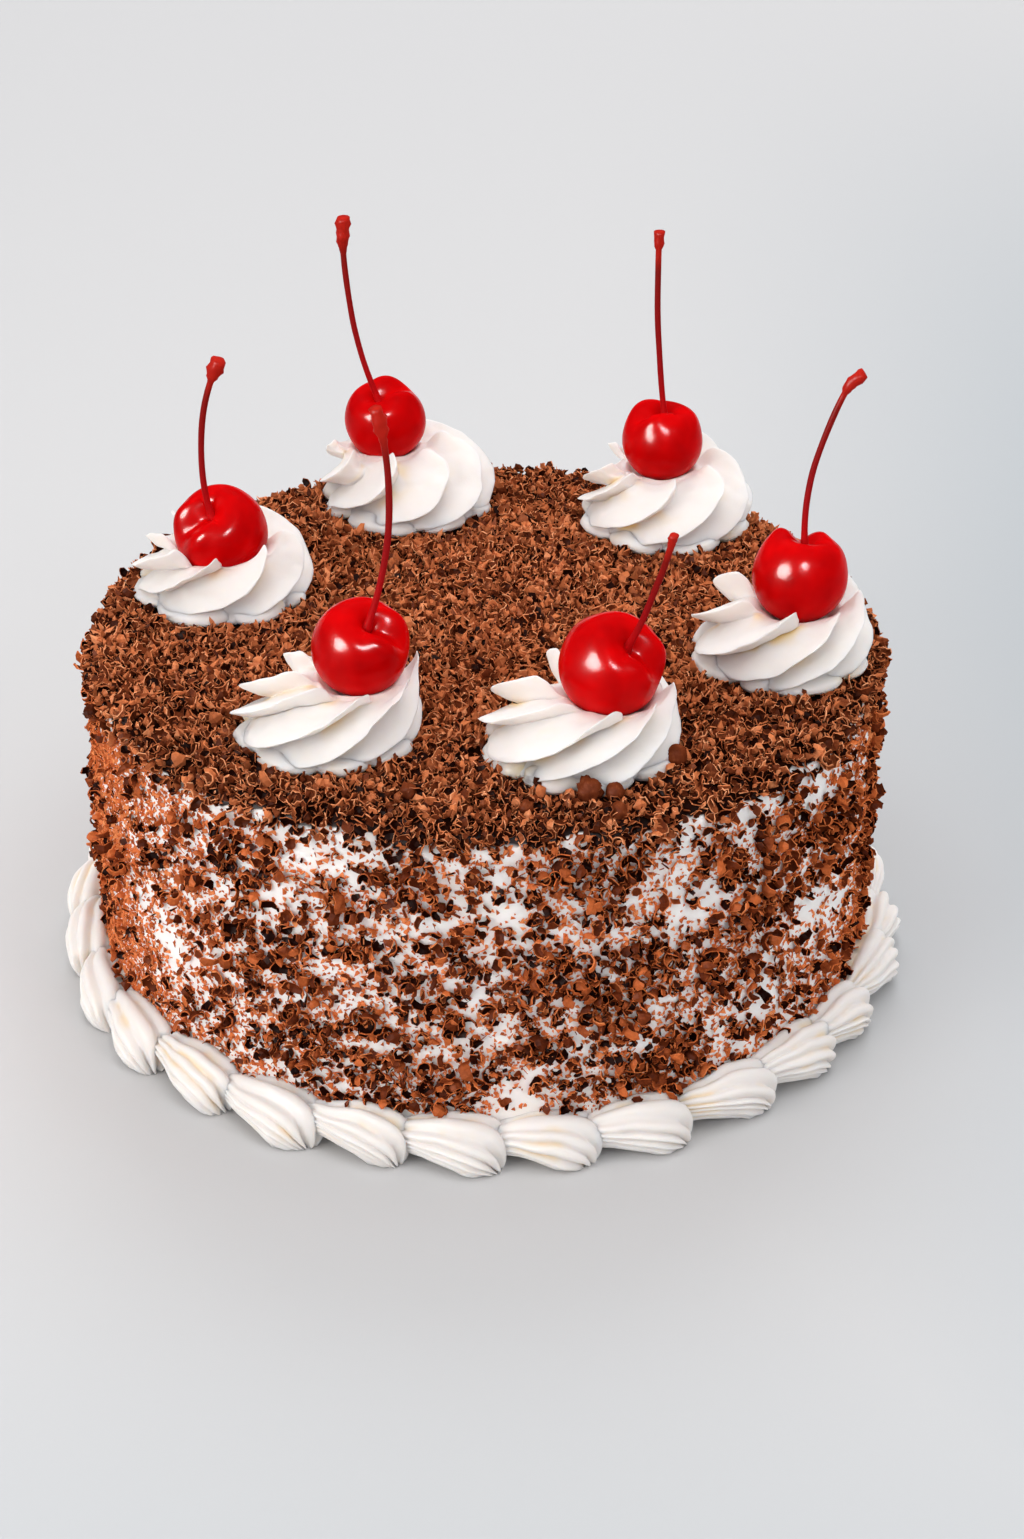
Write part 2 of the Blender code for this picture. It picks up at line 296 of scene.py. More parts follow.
def makeFloor():
    half, share = floor["half"], floor["nearShare"]
    corners = ((-half, -half), (half, -half), (half, half), (-half, half))
    mesh = bpy.data.meshes.new("floor")
    mesh.from_pydata([(x, y, -floor["drop"]) for x, y in corners], [], [(0, 1, 2, 3)])
    material, tree, shader = newMaterial("paleFloor", Roughness=0.75, Specular_IOR_Level=0.006)
    place = addNode(tree, "ShaderNodeTexCoord").outputs["Object"]
    across, away = addNode(tree, "ShaderNodeSeparateXYZ", {0: place}).outputs[:2]
    notFar = mathNode(tree, "SUBTRACT", 1.0, stepUp(tree, away, *floor["far"]))
    toRight = mathNode(tree, "MULTIPLY", stepUp(tree, across, *floor["right"]), notFar)
    beyond = mathNode(tree, "MULTIPLY", stepUp(tree, away, *floor["near"]), share)
    toFront = mathNode(tree, "SUBTRACT", share, beyond)
    # painted shade on the floor to the right and in front
    paintedShade = mathNode(tree, "MAXIMUM", toRight, toFront)
    tree.links.new(mixed(tree, paintedShade, floor["colour"], floor["paintedShade"]), shader.inputs["Base Color"])
    mesh.materials.append(material)
    placeObject("floor", mesh)


makeCamera()
makeLights()
makeFloor()
print("stage set")


# Materials: cream, chocolate, cherry and stalk. A noise's scale counts its bumps in a metre.

creamLook = dict(
    white=(0.778, 0.732, 0.702), coat=(0.94, 0.905, 0.875), grooveGlow=(0.80, 0.56, 0.22),
    blush=(0.82, 0.56, 0.52), under=(0.014, 0.0030, 0.0010), speck=(0.50, 0.128, 0.024),
    softness=0.55, dustedSoftness=0.2,
    driftScale=70.0, grooveGlowShare=(0.47, 0.63), dustScale=1400.0, dusty=(1.0, 1.07), shaded=(0.3, 0.7),
    skinScale=420.0, skinDepth=0.00022, skinStrength=0.35, pitScale=170.0,
    pitted=(0.80, 1.0), pitWidth=0.09,
)


def creamMaterial(name, dusted=False):
    look = creamLook
    material, tree, shader = newMaterial(
        name, Roughness=0.42, Subsurface_Weight=look["dustedSoftness" if dusted else "softness"],
        Subsurface_Scale=0.0035, Subsurface_Radius=(1.0, 0.78, 0.6), Specular_IOR_Level=0.012)
    # Painted glow: a yellow tint in the grooves, in drifting patches, stands in for light scattered through
    # the cream
    drift = stepUp(tree, objectNoise(tree, look["driftScale"], 2.0), *look["grooveGlowShare"])
    grooveGlowShare = mathNode(tree, "MULTIPLY", namedValue(tree, "groove"), drift)
    # The coat and white are one cream painted at two brightnesses: the coat paler as painted light against
    # the shade among the shavings, the piped white darker as painted shade against the strong light on
    # rosettes and shells
    colour = mixed(tree, grooveGlowShare, look["coat" if dusted else "white"], look["grooveGlow"])
    if dusted:  # the side has crumbs too fine to model, and the top under the shavings is painted near-black: chocolate with painted shade for the gaps between shavings
        grain = objectNoise(tree, look["dustScale"], 2.0, 0.6)
        dust = mathNode(tree, "ADD", grain, namedValue(tree, "dust"))
        colour = mixed(tree, stepUp(tree, dust, *look["dusty"]), colour, look["speck"])
        colour = mixed(tree, stepUp(tree, namedValue(tree, "under"), *look["shaded"]), colour, look["under"])
    else:
        colour = mixed(tree, namedValue(tree, "blush"), colour, look["blush"])
    tree.links.new(colour, shader.inputs["Base Color"])
    place = addNode(tree, "ShaderNodeTexCoord").outputs["Object"]
    cells = addNode(tree, "ShaderNodeTexVoronoi", {"Vector": place, "Scale": look["pitScale"]})
    chance = addNode(tree, "ShaderNodeSeparateColor", {0: cells.outputs["Color"]}).outputs[0]
    size = mathNode(tree, "MULTIPLY", stepUp(tree, chance, *look["pitted"]), look["pitWidth"])
    pit = mathNode(tree, "LESS_THAN", cells.outputs["Distance"], size)
    height = mathNode(tree, "SUBTRACT", objectNoise(tree, look["skinScale"], 4.0, 0.6), pit)
    roughen(tree, shader, height, look["skinStrength"], look["skinDepth"])
    return material


# Colours of chocolate from dark to pale: the dark end also carries the painted shade inside curls, and the
# pale end the painted glow on broken edges
topStops = (
    (0.00, (0.014, 0.0020, 0.0006)), (0.22, (0.150, 0.0310, 0.0098)),
    (0.52, (0.610, 0.1790, 0.0640)), (1.00, (1.000, 0.4900, 0.2500)),
)
# On the side the cream behind the shavings shines through them
sideStops = (
    (0.00, (0.014, 0.0018, 0.0004)), (0.22, (0.155, 0.0285, 0.0080)),
    (0.52, (0.690, 0.1640, 0.0450)), (1.00, (0.980, 0.4200, 0.1700)),
)
shavingLook = dict(grain=700.0, grainShare=0.24, edgeShare=0.26, pores=1500.0, strength=0.4, depth=0.0002)


def shavingMaterial(name, stops):
    look = shavingLook
    material, tree, shader = newMaterial(name, Roughness=0.50, Specular_IOR_Level=0.004)
    grain = objectNoise(tree, look["grain"])
    shade = mathNode(tree, "MULTIPLY_ADD", grain, look["grainShare"], namedValue(tree, "shade"))
    # each face's tone adds painted shade inside curls and painted glow on broken edges
    shade = mathNode(tree, "MULTIPLY_ADD", namedValue(tree, "edge"), look["edgeShare"], shade)
    tree.links.new(rampNode(tree, shade, stops), shader.inputs["Base Color"])
    roughen(tree, shader, objectNoise(tree, look["pores"]), look["strength"], look["depth"])
    return material


cherryLook = dict(
    stops=((0.3, (0.40, 0.0003, 0.0010)), (0.7, (0.62, 0.0006, 0.0014))), blotches=110.0, dents=210.0,
    crinkles=900.0, crinkleShare=0.45, crinkledScale=75.0, crinkled=(0.47, 0.60), strength=0.16, depth=0.0006,
)


def cherryMaterial():
    look = cherryLook
    material, tree, shader = newMaterial(
        "glazedCherry", Roughness=0.24, Subsurface_Weight=0.25, Subsurface_Scale=0.002,
        Subsurface_Radius=(1.0, 0.05, 0.03), Coat_Weight=0.5, Coat_IOR=1.15, Coat_Roughness=0.19,
        Specular_IOR_Level=0.006, Specular_Tint=(1.0, 0.30, 0.28, 1.0))
    red = rampNode(tree, objectNoise(tree, look["blotches"], 2.0), look["stops"])
    tree.links.new(red, shader.inputs["Base Color"])
    crinkled = stepUp(tree, objectNoise(tree, look["crinkledScale"], 1.0), *look["crinkled"])
    crinkle = mathNode(tree, "MULTIPLY", objectNoise(tree, look["crinkles"]), crinkled)
    dents = objectNoise(tree, look["dents"], 1.0)
    height = mathNode(tree, "MULTIPLY_ADD", crinkle, look["crinkleShare"], dents)
    bump = roughen(tree, shader, height, look["strength"], look["depth"])
    tree.links.new(bump, shader.inputs["Coat Normal"])
    return material


# Colours of a stalk from its root to its tip
stalkLook = dict(
    stops=((0.10, (0.48, 0.0022, 0.0040)), (0.45, (0.30, 0.0060, 0.0075)),
           (0.90, (0.23, 0.0080, 0.0060)), (1.0, (0.45, 0.0150, 0.0085))),
    streaks=500.0, stretch=(1, 1, 0.15), streakShare=0.22, strength=0.5, depth=0.0003,
)


def stalkMaterial():
    look = stalkLook
    material, tree, shader = newMaterial("cherryStalk", Roughness=0.36, Specular_IOR_Level=0.012)
    streak = objectNoise(tree, look["streaks"], stretch=look["stretch"])
    place = mathNode(tree, "MULTIPLY_ADD", streak, look["streakShare"], namedValue(tree, "along"))
    tree.links.new(rampNode(tree, place, look["stops"]), shader.inputs["Base Color"])
    roughen(tree, shader, streak, look["strength"], look["depth"])
    return material


cream = creamMaterial("whippedCream")
coat = creamMaterial("creamCoat", dusted=True)
topBrown = shavingMaterial("milkChocolate", topStops)
sideBrown = shavingMaterial("litChocolate", sideStops)
cherryRed = cherryMaterial()
stalkBrown = stalkMaterial()
print("materials made")


# Rosettes: where each stands, and the cherry and stalk on it

rosettes = (
    dict(angle=-124.0, ring=0.0658, radius=0.0218, cherry=0.0118, seat=(0.0080, 0.0022, 0.0223),
         lean=26, towards=-53, tip=(0.0049, -0.0050, 0.0634), bow=0.0042, fold=-15, knob="ridged"),
    dict(angle=-69.0, ring=0.0648, radius=0.0232, cherry=0.0126, seat=(0.0070, 0.0020, 0.0216),
         lean=40, towards=-46, tip=(0.0127, -0.0170, 0.0420), bow=0.0010, fold=-25, knob="cut", turn=-15),
    dict(angle=-10.0, ring=0.0749, radius=0.0222, cherry=0.0120, seat=(0.0042, 0.0020, 0.0213),
         lean=10, towards=42, tip=(0.0113, 0.0020, 0.0541), bow=-0.0036, fold=100, knob="bent"),
    dict(angle=53.2, ring=0.0803, radius=0.0230, cherry=0.0110, seat=(-0.0011, 0.0042, 0.0218),
         lean=6, towards=21, tip=(-0.0026, 0.0000, 0.0590), bow=-0.0012, fold=200, knob="small"),
    dict(angle=106.2, ring=0.0781, radius=0.0234, cherry=0.0111, seat=(-0.0060, 0.0045, 0.0222),
         lean=20, towards=-134, tip=(-0.0102, -0.0040, 0.0590), bow=-0.0028, fold=30, knob="flared"),
    dict(angle=162.8, ring=0.0709, radius=0.0228, cherry=0.0120, seat=(0.0004, -0.0038, 0.0184),
         lean=35, towards=-116, tip=(0.0021, -0.0080, 0.0506), bow=-0.0038, fold=-150, knob="round"),
)
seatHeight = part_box("rosette_1")[0].z  # the rosettes stand on the cake here


def rosetteFoot(row):
    return ringPoint(row["ring"], row["angle"], seatHeight)


def cherryCentre(row):
    foot = rosetteFoot(row)
    foot.z = seatHeight - 0.0003
    return foot + Vector(row["seat"])


# Cake coat: one closed body of cream, with what the shavings' places need to know

cake = dict(
    radius=0.0994, height=0.0888, rim=0.0052, columns=360, topRings=46, rimRings=8, sideRows=58,
    plainFoot=0.0150, footFade=0.008, smear=0.0007, smearSize=0.020, lump=0.0004, lumpSize=0.0045,
    peak=0.0008, peakSize=0.0050, front=-80.0, seed=3.0, dent=(-36.0, 0.046, 0.0065), dentDepth=0.0013,
)
# Places on the side, as angle, height and reach: heaps of curls, and cream that shows bare
heaps = (
    (-123, 0.076, 0.008), (-123, 0.052, 0.011), (-103, 0.023, 0.012), (-113, 0.029, 0.011),
    (-81, 0.050, 0.011), (-76, 0.043, 0.010), (-67, 0.048, 0.010), (-46, 0.080, 0.010), (-34, 0.061, 0.009),
    (-57, 0.071, 0.009), (-77, 0.077, 0.009), (-91, 0.060, 0.008), (-66, 0.020, 0.010), (-100, 0.077, 0.008),
    (-48, 0.057, 0.010),
)
bareSpots = (
    (-126, 0.084, 0.009), (-115, 0.086, 0.010), (-107, 0.084, 0.008), (-88, 0.068, 0.009),
    (-95, 0.064, 0.006), (-119, 0.064, 0.007), (-138, 0.036, 0.011), (-147, 0.043, 0.008),
    (-60, 0.086, 0.010), (-52, 0.086, 0.009), (-37, 0.084, 0.009), (-60, 0.062, 0.008), (-35, 0.044, 0.010),
    (-47, 0.025, 0.007), (-84, 0.015, 0.007), (-27, 0.040, 0.008),
)
# Where the cover changes: heights are over the top's height, and each pair is where it starts and is full
cover = dict(
    top=(-0.0056, -0.0030), side=(-0.0046, -0.0024), under=(-0.0040, -0.0024), byRosette=(-0.0016, 0.0002),
    rimBand=(0.058, 0.088), frontBand=(-0.1, 0.8), leftAngle=-175, leftBand=(0.60, 0.97), bare=0.90,
    flakesBehind=0.25, flakesLeft=0.72, crumbsBehind=0.3, crumbsLeft=0.8, footLift=-0.0050, dust=0.31,
)


def cakeProfile():
    flat = cake["radius"] - cake["rim"]
    rows = [(flat * (i + 1) / cake["topRings"], cake["height"]) for i in range(cake["topRings"])]
    for i in range(1, cake["rimRings"] + 1):
        turn = 0.5 * math.pi * i / cake["rimRings"]
        drop = cake["rim"] * (1 - math.cos(turn))
        rows.append((flat + cake["rim"] * math.sin(turn), cake["height"] - drop))
    low = cake["height"] - cake["rim"]
    rows += [(cake["radius"], low * (1 - i / cake["sideRows"])) for i in range(1, cake["sideRows"] + 1)]
    return rows


def roomToRosettes(points):  # how far each point is outside the nearest rosette, seen from above
    away = [np.hypot(points[:, 0] - rosetteFoot(r).x, points[:, 1] - rosetteFoot(r).y) - r["radius"]
            for r in rosettes]
    return np.min(away, axis=0)


def nearSpots(points, spots):  # 1 at a spot on the side, fading with its reach
    angles = np.arctan2(points[:, 1], points[:, 0])
    share = np.zeros(len(points))
    for angle, height, reach in spots:
        across = wrapped(angles - math.radians(angle)) * cake["radius"]
        share = np.maximum(share, np.exp(-(across ** 2 + (points[:, 2] - height) ** 2) / reach ** 2))
    return share


def coverMaps(points):
    # Shares of shavings: thick over the top and rim, patchy on the side, thin where the cream shows
    c = cover
    height, top = points[:, 2], cake["height"]
    angles = np.degrees(np.arctan2(points[:, 1], points[:, 0]))
    patch = noiseAt(points, 0.011, 5.0) + 0.7 * noiseAt(points, 0.0045, 9.0)
    edge = 0.0028 * noiseAt(points, 0.007, 2.0) + 0.0016 * noiseAt(points, 0.0025, 6.0)
    foot = cake["plainFoot"] + c["footLift"] + 0.0030 * noiseAt(points, 0.016, 13.0)
    bare, heap = nearSpots(points, bareSpots), nearSpots(points, heaps)
    shown = np.clip(1 - c["bare"] * bare, 0.05, 1)
    front = smoothStep(np.cos(np.radians(angles - cake["front"])), *c["frontBand"])
    left = smoothStep(np.cos(np.radians(angles - c["leftAngle"])), *c["leftBand"])
    onTop = smoothStep(height, top + c["top"][0] + edge, top + c["top"][1] + edge)
    onTop = onTop * smoothStep(roomToRosettes(points), *c["byRosette"])
    onSide = (height > foot) * (1 - smoothStep(height, top + c["side"][0], top + c["side"][1]))
    flakes = onSide * np.clip(0.90 + 0.90 * patch, 0.12, 1.8) * shown + 0.8 * heap * onSide
    flakes *= (1.0 + c["flakesBehind"] * (1 - front)) * (1 - c["flakesLeft"] * left)
    fine = onSide * np.clip(0.95 + 0.8 * noiseAt(points, 0.008, 7.0), 0.2, 1.8) * np.clip(shown + 0.08, 0, 1)
    fine *= 1.0 + c["crumbsBehind"] * (1 - front) + c["crumbsLeft"] * left
    clump = onSide * (heap + 0.75 * np.clip(2.6 * (noiseAt(points, 0.013, 11.0) - 0.15), 0, 1)) * shown
    nearRim = smoothStep(np.hypot(points[:, 0], points[:, 1]), *c["rimBand"]) * (0.3 + 0.7 * front)
    dust = c["dust"] * onSide * shown * np.clip(0.9 + 0.6 * patch + 0.10 * left, 0.3, 1.25)
    return dict(
        topCover=onTop, rimCover=onTop * (0.15 + nearRim), sideCover=flakes,
        bitsCover=onTop * (1 - 0.85 * nearRim), fineCover=fine, clumpCover=clump, dust=dust,
        # under: where the top's cream is painted near-black, chocolate with painted shade between the
        # shavings
        under=smoothStep(height, top + c["under"][0] + edge, top + c["under"][1] + edge))


def makeCoat():
    around = np.arange(cake["columns"]) * 2 * math.pi / cake["columns"]
    out = np.stack([np.cos(around), np.sin(around), np.zeros_like(around)], -1)
    rise = np.array([0, 0, 1.0])
    rows = []
    for radius, height in cakeProfile():
        ring = out * radius + rise * height
        share = float(smoothStep(height, cake["plainFoot"], cake["plainFoot"] + cake["footFade"]))
        waves = cake["smear"] * noiseAt(ring * np.array([1, 1, 3.2]), cake["smearSize"], cake["seed"])
        waves += cake["lump"] * noiseAt(ring, cake["lumpSize"], 1.0)
        ridged = np.abs(noiseAt(ring * np.array([1, 1, 0.6]), cake["peakSize"], 4.0))
        waves += cake["peak"] * np.clip(0.25 - ridged, 0, 1) * 1.6
        waves -= cake["dentDepth"] * nearSpots(ring, [cake["dent"]])
        along = out if height < cake["height"] - 1e-6 else rise
        rows.append(ring + along * (waves * share)[:, None])
    grid = np.array(rows)
    grid[-1, :, 2] = 0.0
    maps = coverMaps(grid.reshape(-1, 3))
    return meshFrom("cakeCoat", (grid, {key: flat.reshape(grid.shape[:2]) for key, flat in maps.items()}))


coatMesh = makeCoat()
addPiece("cakeCoat", coatMesh, coat, "cake_cream_and_shavings", "cake")
print("coat made:", len(coatMesh.polygons), "faces")


# Kinds of shaving, each a few dozen faces at most

# How pale each face is, over or under its shade: broken edges are pale, partly their own colour and partly
# painted glow of light through thin chocolate; the inside of a curl is painted shade, and the outside a
# little paler to balance it
tones = dict(outside=0.25, brokenGlow=1.0, shadedInside=-0.75, crumb=0.15)


def scrapMesh(name, points, faces, edges):
    mesh = bpy.data.meshes.new(name)
    mesh.from_pydata([tuple(p) for p in points], [], faces)
    mesh.attributes.new("edge", "FLOAT", "FACE").data.foreach_set("value", edges)
    mesh.shade_flat()
    return mesh


def ribbonMesh(name, rng, length, width, thickness, bend, twist, segments, cupped=0.0):
    # A ragged strip bent to an arc of this many degrees, cupped across where it is broad
    total = math.radians(bend)
    radius = length / total
    half = width / 2
    outside, brokenGlow, shadedInside = tones["outside"], tones["brokenGlow"], tones["shadedInside"]
    section = [(-1, 0), (1, 0), (1, thickness), (-1, thickness)]
    sides = [outside, brokenGlow, shadedInside, brokenGlow]
    if cupped:
        section = [(-1, 0), (0, -cupped), (1, 0), (1, thickness), (0, thickness - cupped), (-1, thickness)]
        sides = [outside, outside, brokenGlow, shadedInside, shadedInside, brokenGlow]
    count = len(section)
    points = []
    for i in range(segments + 1):
        share = i / segments - 0.5
        angle = share * total + rng.uniform(-0.08, 0.08)
        normal = Vector((-math.sin(angle), 0, math.cos(angle)))
        spin = math.radians(twist) * share
        side = Vector((0, math.cos(spin), 0)) + normal * math.sin(spin)
        face = normal * math.cos(spin) - Vector((0, math.sin(spin), 0))
        taper = rng.uniform(0.25, 0.8) if i in (0, segments) else 1.0
        reach = {-1: half * rng.uniform(0.55, 1.1) * taper, 1: half * rng.uniform(0.55, 1.1) * taper, 0: 0.0}
        centre = Vector((radius * math.sin(angle), 0, radius * (1 - math.cos(angle))))
        points += [centre + side * (u * reach[u]) + face * v for u, v in section]
    faces = [[i * count + j, i * count + (j + 1) % count,
              (i + 1) * count + (j + 1) % count, (i + 1) * count + j]
             for i in range(segments) for j in range(count)]
    faces += [list(range(count))[::-1], [segments * count + j for j in range(count)]]
    return scrapMesh(name, points, faces, sides * segments + [brokenGlow, brokenGlow])


def crumbMesh(name, rng, size, corners):  # a long splinter of 4 or 6 corners, knocked out of true
    if corners == 4:
        places = ((1.3, 0, -0.3), (-0.9, 0.7, -0.3), (-0.7, -0.8, -0.2), (0, 0, 0.8))
        faces = ((0, 2, 1), (0, 1, 3), (1, 2, 3), (2, 0, 3))
    else:
        places = ((1.5, 0, 0), (0, 0.8, 0), (-1.5, 0, 0), (0, -0.8, 0), (0, 0, 0.7), (0, 0, -0.7))
        faces = ((0, 1, 4), (1, 2, 4), (2, 3, 4), (3, 0, 4), (1, 0, 5), (2, 1, 5), (3, 2, 5), (0, 3, 5))
    points = [Vector(p) * size * rng.uniform(0.3, 0.62) for p in places]
    return scrapMesh(name, points, faces, [tones["crumb"]] * len(faces))


# Strips have a length, width, bend and twist in degrees, segments, and a depth of cup.
# Bits and crumbs have a size and a number of corners.
shavingKinds = dict(
    flakes=dict(count=18, length=(0.0024, 0.0052), width=(0.0016, 0.0034), thickness=0.00028, bend=(30, 140),
                twist=20, segments=3),
    shreds=dict(count=12, length=(0.0014, 0.0034), width=(0.0005, 0.0011), thickness=0.00032, bend=(40, 120),
                twist=60, segments=1),
    curls=dict(count=14, length=(0.0060, 0.0110), width=(0.0022, 0.0042), thickness=0.00034, bend=(180, 330),
               twist=35, segments=7, cupped=0.0004),
    scoops=dict(count=16, length=(0.0034, 0.0066), width=(0.0022, 0.0042), thickness=0.00032, bend=(90, 230),
                twist=22, segments=5, cupped=0.0007),
    bits=dict(count=14, size=(0.0014, 0.0030), corners=6),
    crumbs=dict(count=12, size=(0.0012, 0.0026), corners=4),
)


def makeKinds(name, row, seed):
    kinds = bpy.data.collections.new(name)
    rng = random.Random(seed)
    for i in range(row["count"]):
        title = f"{name}{i:02d}"
        if "size" in row:
            mesh = crumbMesh(title, rng, rng.uniform(*row["size"]), row["corners"])
        else:
            mesh = ribbonMesh(
                title, rng, rng.uniform(*row["length"]), rng.uniform(*row["width"]), row["thickness"],
                rng.uniform(*row["bend"]), rng.uniform(-row["twist"], row["twist"]), row["segments"],
                row.get("cupped", 0.0))
        kinds.objects.link(bpy.data.objects.new(title, mesh))
    return kinds


def dropKinds(kinds):
    for one in list(kinds.objects):
        bpy.data.objects.remove(one)
    bpy.data.collections.remove(kinds)


# Geometry Nodes: what the scatter and the border share

def newTree(name, inputs):  # inputs: the name and kind of each
    tree = bpy.data.node_groups.new(name, "GeometryNodeTree")
    for title, kind in {"Geometry": "Geometry", **inputs}.items():
        tree.interface.new_socket(title, in_out="INPUT", socket_type="NodeSocket" + kind)
    tree.interface.new_socket("Geometry", in_out="OUTPUT", socket_type="NodeSocketGeometry")
    return tree, tree.nodes.new("NodeGroupInput").outputs


def randomBetween(tree, low, high, seed):
    node = addNode(tree, "FunctionNodeRandomValue", {2: low, 3: high, "Seed": seed}, data_type="FLOAT")
    return node.outputs[1]


def placeKinds(tree, points, kinds, seed, turn, size):  # one of the kinds, picked at random, on each point
    shapes = addNode(tree, "GeometryNodeCollectionInfo", {0: kinds, 1: True, 2: True}).outputs[0]
    pick = addNode(tree, "FunctionNodeRandomValue", {4: 0, 5: 999, "Seed": seed}, data_type="INT").outputs[2]
    return addNode(tree, "GeometryNodeInstanceOnPoints",
                   {0: points, 2: shapes, 3: True, 4: pick, 5: turn, 6: size}).outputs[0]


def endTree(tree, placed, finish):
    real = addNode(tree, "GeometryNodeRealizeInstances", {0: placed}).outputs[0]
    done = addNode(tree, "GeometryNodeSetMaterial", {0: real, 2: finish}).outputs[0]
    tree.links.new(done, tree.nodes.new("NodeGroupOutput").inputs[0])
    return tree


def growPiece(name, mesh, tree, values):
    piece = placeObject(name, mesh)
    grow = piece.modifiers.new("grow", "NODES")
    grow.node_group = tree
    for item in tree.interface.items_tree:
        if item.in_out == "INPUT" and item.name in values:
            grow[item.identifier] = values[item.name]
    graph = bpy.context.evaluated_depsgraph_get()
    made = bpy.data.meshes.new_from_object(piece.evaluated_get(graph))
    piece.modifiers.clear()
    piece.data = made
    made.name = name
    return piece


# Scattering: one tree for every layer of shavings

def makeScatterTree():
    tree, given = newTree("scatterShavings", {
        "Kinds": "Collection", "Cover": "String", "Density": "Float", "Seed": "Int",
        "Lift Low": "Float", "Lift High": "Float", "Tilt": "Float", "Size Low": "Float", "Size High": "Float",
        "Shade Low": "Float", "Shade High": "Float", "Finish": "Material"})
    share = addNode(tree, "GeometryNodeInputNamedAttribute", {0: given["Cover"]}, data_type="FLOAT")
    amount = mathNode(tree, "MULTIPLY", share.outputs[0], given["Density"])
    spots = addNode(tree, "GeometryNodeDistributePointsOnFaces",
                    {0: given["Geometry"], "Density": amount, "Seed": given["Seed"]})

    def randomValue(low, high, step):
        return randomBetween(tree, low, high, mathNode(tree, "ADD", given["Seed"], float(step)))

    def randomInput(title, step):
        return randomValue(given[title + " Low"], given[title + " High"], step)

    raised = addNode(tree, "ShaderNodeVectorMath",
                     {0: spots.outputs["Normal"], "Scale": randomInput("Lift", 11)}, operation="SCALE")
    points = addNode(tree, "GeometryNodeSetPosition",
                     {0: spots.outputs["Points"], "Offset": raised.outputs[0]}).outputs[0]
    lean = mathNode(tree, "MULTIPLY", given["Tilt"], -1.0)
    tip = addNode(tree, "ShaderNodeCombineXYZ", {
        0: randomValue(lean, given["Tilt"], 21), 1: randomValue(lean, given["Tilt"], 22),
        2: randomValue(0.0, 2 * math.pi, 23)}).outputs[0]
    turn = addNode(tree, "FunctionNodeEulerToRotation", {0: tip}).outputs[0]
    facing = addNode(tree, "FunctionNodeRotateRotation", {0: spots.outputs["Rotation"], 1: turn},
                     rotation_space="LOCAL").outputs[0]
    placed = placeKinds(tree, points, given["Kinds"], 0, facing, randomInput("Size", 31))
    shaded = addNode(tree, "GeometryNodeStoreNamedAttribute",
                     {0: placed, "Name": "shade", "Value": randomInput("Shade", 41)},
                     data_type="FLOAT", domain="INSTANCE").outputs[0]
    return endTree(tree, shaded, given["Finish"])


layers = (
    # The lowest flakes take darker shades: painted shade for the layer under the others
    dict(name="topFlakesUnder", kinds="flakes", cover="topCover", density=1.7e5, seed=1,
         lift=(-0.0004, 0.0008), tilt=0.8, size=(0.75, 1.1), shade=(-0.12, 0.26)),
    dict(name="topBits", kinds="bits", cover="bitsCover", density=4.4e5, seed=10, lift=(0.0002, 0.0016),
         tilt=3.1, size=(0.5, 1.2), shade=(-0.02, 0.48)),
    dict(name="topFlakesOver", kinds="flakes", cover="topCover", density=1.3e5, seed=2, lift=(0.0002, 0.0016),
         tilt=1.5, size=(0.45, 1.0), shade=(-0.04, 0.44)),
    dict(name="topShreds", kinds="shreds", cover="topCover", density=1.0e5, seed=8, lift=(0.0004, 0.0020),
         tilt=1.2, size=(0.6, 1.1), shade=(0.06, 0.56)),
    dict(name="rimCurls", kinds="scoops", cover="rimCover", density=1.5e5, seed=3, lift=(0.0000, 0.0022),
         tilt=1.4, size=(0.45, 1.05), shade=(-0.14, 0.38)),
    dict(name="sideCurls", kinds="curls", cover="clumpCover", density=8.5e4, seed=4, lift=(0.0000, 0.0017),
         tilt=1.4, size=(0.45, 1.0), shade=(-0.10, 0.28)),
    dict(name="sideScoops", kinds="scoops", cover="sideCover", density=5.0e4, seed=5, lift=(-0.0001, 0.0010),
         tilt=1.0, size=(0.45, 1.05), shade=(-0.14, 0.32)),
    dict(name="sideFlakes", kinds="flakes", cover="sideCover", density=8.2e4, seed=9, lift=(-0.0001, 0.0009),
         tilt=1.0, size=(0.40, 1.0), shade=(-0.10, 0.34)),
    dict(name="sideShreds", kinds="shreds", cover="fineCover", density=7.0e4, seed=6, lift=(0.0, 0.0006),
         tilt=0.9, size=(0.5, 1.0), shade=(0.00, 0.44)),
    dict(name="sideCrumbs", kinds="crumbs", cover="fineCover", density=5.4e5, seed=7, lift=(0.0, 0.0002),
         tilt=0.9, size=(0.45, 1.25), shade=(0.16, 0.62)),
)


def makeShavings():
    kinds = {name: makeKinds(name, row, 20 + i) for i, (name, row) in enumerate(shavingKinds.items())}
    tree = makeScatterTree()
    total = 0
    for row in layers:
        values = {title: row[title.lower()] for title in ("Cover", "Density", "Seed", "Tilt")}
        values["Kinds"] = kinds[row["kinds"]]
        values["Finish"] = sideBrown if row["name"].startswith("side") else topBrown
        for title in ("Lift", "Size", "Shade"):
            values[title + " Low"], values[title + " High"] = row[title.lower()]
        piece = growPiece(row["name"], coatMesh, tree, values)
        claimPiece(piece, "cake_cream_and_shavings", "cake")
        total += triangleCount(piece)
        print("  ", row["name"], triangleCount(piece), "triangles")
    print("shavings scattered:", total, "triangles")
    for group in kinds.values():
        dropKinds(group)


makeShavings()


# Round lumps that stand out by the front rosettes: place on the cake, height over it, size, roughness

